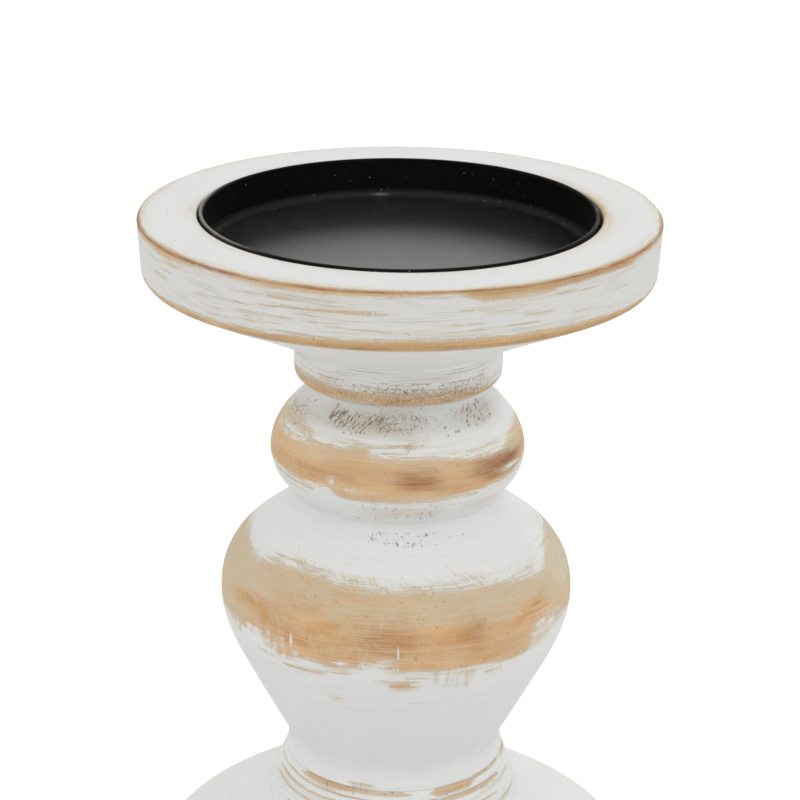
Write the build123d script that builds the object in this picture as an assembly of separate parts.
from build123d import *
import math
import os
from typing import NamedTuple

# Turned wooden candlestick with a drop-in steel candle cup.
# Frame: origin at the centre of the resting plane, +Z up, millimetres.
# The wooden column is a stack of turned sections. They meet at the sharp
# creases of the turning, register on short spigots, and are pulled together
# by one steel tie rod with a washer and a nut at each end.

# ---------------------------------------------------------------- overall
TOTAL_H = 203.2          # cup rim above the resting plane (8 in)
CUP_PROUD = 0.6          # how far the cup rim stands above the plate
PLATE_TOP = TOTAL_H - CUP_PROUD
FELT_T = 1.5             # felt disc under the base
FELT_R = 58.0

# ---------------------------------------------------------------- joinery
BORE_R = 3.3             # clearance bore for the tie rod
SPIGOT_H = 4.0
SOCKET_GAP_R = 0.15      # glue gap round a spigot
SOCKET_GAP_Z = 0.4       # glue gap at the end of a spigot
POCKET_R = 10.5          # counterbore for washer and nut, both ends
POCKET_TOP_Z = 184.3     # floor of the upper counterbore
POCKET_BOT_Z = 12.0      # roof of the lower counterbore


class Joint(NamedTuple):
    """Where two sections meet; the lower one has the spigot."""
    z: float
    radius: float        # outside radius at the crease
    spigot_r: float

    def crease(self):
        return (self.radius, self.z)

    def spigot(self):
        """Bore edge at the top of the spigot, out and down to the crease."""
        top = self.z + SPIGOT_H
        return [(BORE_R, top), (self.spigot_r, top), (self.spigot_r, self.z),
                self.crease()]

    def socket(self):
        """From the socket's mouth up its wall and in to the bore."""
        wall_r = self.spigot_r + SOCKET_GAP_R
        roof = self.z + SPIGOT_H + SOCKET_GAP_Z
        return [(wall_r, self.z), (wall_r, roof), (BORE_R, roof)]


# Each joint is named after the section above it.
PLATE_JOINT = Joint(z=PLATE_TOP - 29.8, radius=24.5, spigot_r=12.0)
COLLAR_JOINT = Joint(z=PLATE_TOP - 40.1, radius=20.7, spigot_r=10.0)
BEAD_JOINT = Joint(z=PLATE_TOP - 67.7, radius=23.9, spigot_r=12.0)
VASE_JOINT = Joint(z=PLATE_TOP - 130.0, radius=25.7, spigot_r=14.0)
NECK_JOINT = Joint(z=PLATE_TOP - 147.4, radius=30.6, spigot_r=16.0)

# ---------------------------------------------------------------- cup
CUP_R = 45.8             # outside radius of the upright wall
CUP_CORNER_R = 2.4       # outside radius where wall turns into floor
CUP_T = 0.9              # sheet thickness
CUP_DEPTH = 9.5          # rim to inside floor
CUP_UNDER = TOTAL_H - CUP_DEPTH - CUP_T

# Rounding of the rim: (distance in from the wall face, drop below the rim)
CUP_RIM = [(0, 0.3), (0.12, 0.08), (0.3, 0)]

# ---------------------------------------------------------------- plate
RECESS_R = CUP_R + 0.6   # turned recess that holds the cup
RECESS_FLOOR_BEVEL = 0.8
RECESS_RIM_BEVEL = 0.3
PLATE_R = 60.0
PLATE_TOP_ROUND = 1.0
PLATE_LOW_R = 59.35      # the wall tapers in a little towards its foot
PLATE_WALL_Z = PLATE_TOP - 11.7
PLATE_EDGE = (57.9, PLATE_TOP - 13.9)   # where the wall meets the cone

# Rolled foot of the wall: (inset from PLATE_LOW_R, drop from PLATE_WALL_Z)
PLATE_ROLL = [(0.12, 0.75), (0.5, 1.45), (0.95, 1.95)]

# ---------------------------------------------------------------- outlines
# Smooth outlines as (radius, drop below the plate's top face), top to
# bottom. The creases at their ends come from the joints.
CONE = [(54.2, 15.7), (50.0, 17.6), (46.0, 19.4), (42.0, 21.3),
        (38.0, 23.2), (34.0, 25.2), (29.0, 27.7)]
COLLAR_ROLL = [(24.4, 36.4), (24.0, 38.3), (22.5, 39.5)]
BEAD = [(21.3, 42.0), (24.4, 45.6), (27.8, 49.7), (29.6, 53.9),
        (29.9, 58.0), (28.5, 62.2), (25.7, 65.7)]
VASE = [(26.0, 70.2), (29.9, 73.9), (36.3, 78.9), (40.7, 85.1),
        (42.05, 91.3), (41.2, 98.8), (38.2, 106.3), (34.4, 113.8),
        (30.5, 121.2)]
SHOULDER = [(33.8, 148.8), (39.9, 152.2), (45.8, 156.1), (51.6, 160.0),
            (57.0, 164.1), (60.9, 169.6), (62.3, 175.4), (61.9, 180.6),
            (60.4, 184.4)]

# Flare of the neck ring, same columns, with straight runs between points
NECK_FLARE = [(25.7, 130.0), (26.2, 134.6), (27.3, 137.4), (28.4, 140.0),
              (29.6, 143.6), (30.6, 147.4)]
GROOVE_COUNT = 5
GROOVE_FIRST_DROP = 135.6
GROOVE_PITCH = 2.4
GROOVE_DEPTH = 0.45
GROOVE_HALF_WIDTH = 0.45

# ---------------------------------------------------------------- foot
FOOT_R = 63.5            # diameter 127 (5 in)
FOOT_TOP = 15.6
FOOT_EDGE_R = 3.2        # rounding of the foot's upper edge
FOOT_LOW_EDGE_R = 1.6    # rounding of its lower edge
FOOT_WALL_LOW_Z = 3.4
FOOT_CREASE = (58.6, 16.4)   # (radius, z) between cushion and foot

# ---------------------------------------------------------------- hardware
ROD_R = 2.95             # M6 tie rod
ROD_ROOT_R = 2.45
ROD_PITCH = 1.0
ROD_THREAD_LEN = 16.0    # threaded length at each end
ROD_RUNOUT = 0.4
ROD_PAST_NUT = 1.0
WASHER_R = 9.0
WASHER_HOLE_R = 3.2
WASHER_T = 1.6
NUT_AF = 10.0            # across flats
NUT_H = 5.0
NUT_BORE_R = 3.0
NUT_CHAMFER_H = 0.55
NUT_CHAMFER_MARGIN = 0.1     # cone runs from inside the flats to past the corners
NUT_TOP_Z = POCKET_TOP_Z + WASHER_T
NUT_BOT_Z = POCKET_BOT_Z - WASHER_T - NUT_H


# ================================================================ helpers
def turn(start, *runs):
    """Revolve a half profile of (radius, z) points about Z.

    Each run is (Polyline or Spline, points) and carries on from where the
    one before it ended. A straight line closes the profile.
    """
    with BuildPart() as body:
        with BuildSketch(Plane.XZ):
            with BuildLine():
                end = start
                for curve, points in runs:
                    curve(end, *points)
                    end = points[-1]
                Polyline(end, start)
            make_face()
        revolve(axis=Axis.Z)
    return body.part


def turn_section(top, *runs):
    """Turn a section with the top joint's spigot; runs start at its crease."""
    start, *spigot = top.spigot()
    return turn(start, (Polyline, spigot), *runs)


def arc_points(centre_r, centre_z, radius, start_deg, end_deg, steps):
    """Points along an arc of the half profile."""
    points = []
    for i in range(steps + 1):
        angle = math.radians(start_deg + (end_deg - start_deg) * i / steps)
        points.append((centre_r + radius * math.cos(angle),
                       centre_z + radius * math.sin(angle)))
    return points


def below_plate(outline):
    """(radius, drop below the plate's top face) to (radius, z)."""
    return [(r, PLATE_TOP - drop) for r, drop in outline]


# ================================================================ wood
def make_top_plate():
    """Thick disc with a round recess, tapered wall and shallow cone below."""
    recess = [
        (POCKET_R, POCKET_TOP_Z),
        (POCKET_R, CUP_UNDER),
        (RECESS_R - RECESS_FLOOR_BEVEL, CUP_UNDER),
        (RECESS_R, CUP_UNDER + RECESS_FLOOR_BEVEL),
        (RECESS_R, PLATE_TOP - RECESS_RIM_BEVEL),
        (RECESS_R + RECESS_RIM_BEVEL, PLATE_TOP),
    ]
    top_edge = arc_points(PLATE_R - PLATE_TOP_ROUND, PLATE_TOP - PLATE_TOP_ROUND,
                          PLATE_TOP_ROUND, 90, 0, steps=5)
    roll = [(PLATE_LOW_R - inset, PLATE_WALL_Z - drop) for inset, drop in PLATE_ROLL]
    return turn(
        (BORE_R, POCKET_TOP_Z),
        (Polyline, recess + top_edge + [(PLATE_LOW_R, PLATE_WALL_Z)]),
        (Spline, roll + [PLATE_EDGE]),
        (Spline, below_plate(CONE) + [PLATE_JOINT.crease()]),
        (Polyline, PLATE_JOINT.socket()),
    )


def make_neck_collar():
    """Short plain ring; its lower edge rolls in to the crease."""
    roll = below_plate(COLLAR_ROLL)
    return turn_section(
        PLATE_JOINT,
        (Polyline, roll[:1]),
        (Spline, roll[1:]),
        (Polyline, [COLLAR_JOINT.crease()] + COLLAR_JOINT.socket()),
    )


def make_smooth_section(top, outline, bottom):
    """Section with one smooth outline between its two creases."""
    return turn_section(
        top,
        (Spline, below_plate(outline) + [bottom.crease()]),
        (Polyline, bottom.socket()),
    )


def flare_radius(drop):
    """Radius of the ungrooved neck flare at a drop below the plate's top."""
    for (r0, drop0), (r1, drop1) in zip(NECK_FLARE, NECK_FLARE[1:]):
        if drop <= drop1:
            return r0 + (r1 - r0) * (drop - drop0) / (drop1 - drop0)
    return NECK_FLARE[-1][0]


def make_neck_ring():
    """Flared ring: a plain band, then fine V grooves."""
    grooves = []
    for i in range(GROOVE_COUNT):
        middle = GROOVE_FIRST_DROP + i * GROOVE_PITCH
        upper = middle - GROOVE_HALF_WIDTH
        lower = middle + GROOVE_HALF_WIDTH
        grooves += [(flare_radius(upper), upper),
                    (flare_radius(middle) - GROOVE_DEPTH, middle),
                    (flare_radius(lower), lower)]
    outline = below_plate(grooves) + [NECK_JOINT.crease()]
    return turn_section(VASE_JOINT, (Polyline, outline + NECK_JOINT.socket()))


def make_base():
    """Broad cushion over a flat foot, with a crease between the two."""
    upper_edge = arc_points(FOOT_R - FOOT_EDGE_R, FOOT_TOP - FOOT_EDGE_R,
                            FOOT_EDGE_R, 90, 0, steps=7)
    lower_edge = arc_points(FOOT_R - FOOT_LOW_EDGE_R, FELT_T + FOOT_LOW_EDGE_R,
                            FOOT_LOW_EDGE_R, 0, -90, steps=5)
    pocket = [(POCKET_R, FELT_T), (POCKET_R, POCKET_BOT_Z), (BORE_R, POCKET_BOT_Z)]
    return turn_section(
        NECK_JOINT,
        (Spline, below_plate(SHOULDER) + [FOOT_CREASE]),
        (Polyline, upper_edge + [(FOOT_R, FOOT_WALL_LOW_Z)] + lower_edge + pocket),
    )


# ================================================================ felt, cup
def make_base_felt():
    """Disc glued under the base, over the lower nut pocket."""
    return turn((0, 0), (Polyline, [(FELT_R, 0), (FELT_R, FELT_T), (0, FELT_T)]))


def make_candle_cup():
    """Shallow pressed-steel cup that stands loose in the plate's recess."""
    corner = (CUP_R - CUP_CORNER_R, CUP_UNDER + CUP_CORNER_R)
    outside = arc_points(*corner, CUP_CORNER_R, -90, 0, steps=6)
    inside = arc_points(*corner, CUP_CORNER_R - CUP_T, 0, -90, steps=6)
    rim_out = [(CUP_R - inset, TOTAL_H - drop) for inset, drop in CUP_RIM]
    rim_in = [(CUP_R - CUP_T + inset, TOTAL_H - drop)
              for inset, drop in reversed(CUP_RIM)]
    return turn(
        (0, CUP_UNDER),
        (Polyline, outside + rim_out + rim_in + inside + [(0, CUP_UNDER + CUP_T)]),
    )


# ================================================================ hardware
def ring_thread(bottom):
    """Half-profile points of one threaded length, made of separate rings."""
    points = []
    for i in range(round(ROD_THREAD_LEN / ROD_PITCH)):
        z = bottom + i * ROD_PITCH
        points += [(ROD_ROOT_R, z),
                   (ROD_R, z + ROD_PITCH * 0.4),
                   (ROD_R, z + ROD_PITCH * 0.6)]
    return points


def make_tie_rod():
    """Rod with a plain shank and a thread at each end."""
    rod_top = NUT_TOP_Z + NUT_H + ROD_PAST_NUT
    rod_bottom = NUT_BOT_Z - ROD_PAST_NUT
    shank_top = rod_top - ROD_THREAD_LEN
    shank_bottom = rod_bottom + ROD_THREAD_LEN
    shank = [(ROD_ROOT_R, shank_bottom),
             (ROD_R, shank_bottom + ROD_RUNOUT),
             (ROD_R, shank_top - ROD_RUNOUT)]
    end = [(ROD_ROOT_R, rod_top), (0, rod_top)]
    return turn(
        (0, rod_bottom),
        (Polyline, ring_thread(rod_bottom) + shank + ring_thread(shank_top) + end),
    )


def make_washer(z):
    """Washer with its underside at z."""
    top = z + WASHER_T
    return turn(
        (WASHER_HOLE_R, z),
        (Polyline, [(WASHER_R, z), (WASHER_R, top), (WASHER_HOLE_R, top)]),
    )


def make_nut(z):
    """Hexagon nut, underside at z, with both faces chamfered."""
    with BuildPart() as body:
        with BuildSketch(Plane.XY.offset(z)):
            RegularPolygon(NUT_AF / 2, 6, major_radius=False)
            Circle(NUT_BORE_R, mode=Mode.SUBTRACT)
        extrude(amount=NUT_H)
    top = z + NUT_H
    face_r = NUT_AF / 2 - NUT_CHAMFER_MARGIN
    outer_r = NUT_AF / 2 / math.cos(math.radians(30)) + NUT_CHAMFER_MARGIN
    chamfer_limit = turn(
        (0, z),
        (Polyline, [(face_r, z), (outer_r, z + NUT_CHAMFER_H),
                    (outer_r, top - NUT_CHAMFER_H), (face_r, top), (0, top)]),
    )
    return body.part & chamfer_limit


# ================================================================ files
PIECES = {
    "candle_cup": make_candle_cup(),
    "top_plate": make_top_plate(),
    "neck_collar": make_neck_collar(),
    # Fat round bead, a little fuller below its middle than above it
    "neck_bead": make_smooth_section(COLLAR_JOINT, BEAD, BEAD_JOINT),
    # Urn shape: round shoulder high up, then a long nearly straight taper
    "vase_body": make_smooth_section(BEAD_JOINT, VASE, VASE_JOINT),
    "neck_ring": make_neck_ring(),
    "base": make_base(),
    "base_felt": make_base_felt(),
    "tie_rod": make_tie_rod(),
    "tie_rod_washers": Compound(children=[make_washer(POCKET_TOP_Z),
                                          make_washer(POCKET_BOT_Z - WASHER_T)]),
    "tie_rod_nuts": Compound(children=[make_nut(NUT_TOP_Z), make_nut(NUT_BOT_Z)]),
}

os.makedirs("parts", exist_ok=True)
for name, shape in PIECES.items():
    export_step(shape, "parts/" + name + ".step")
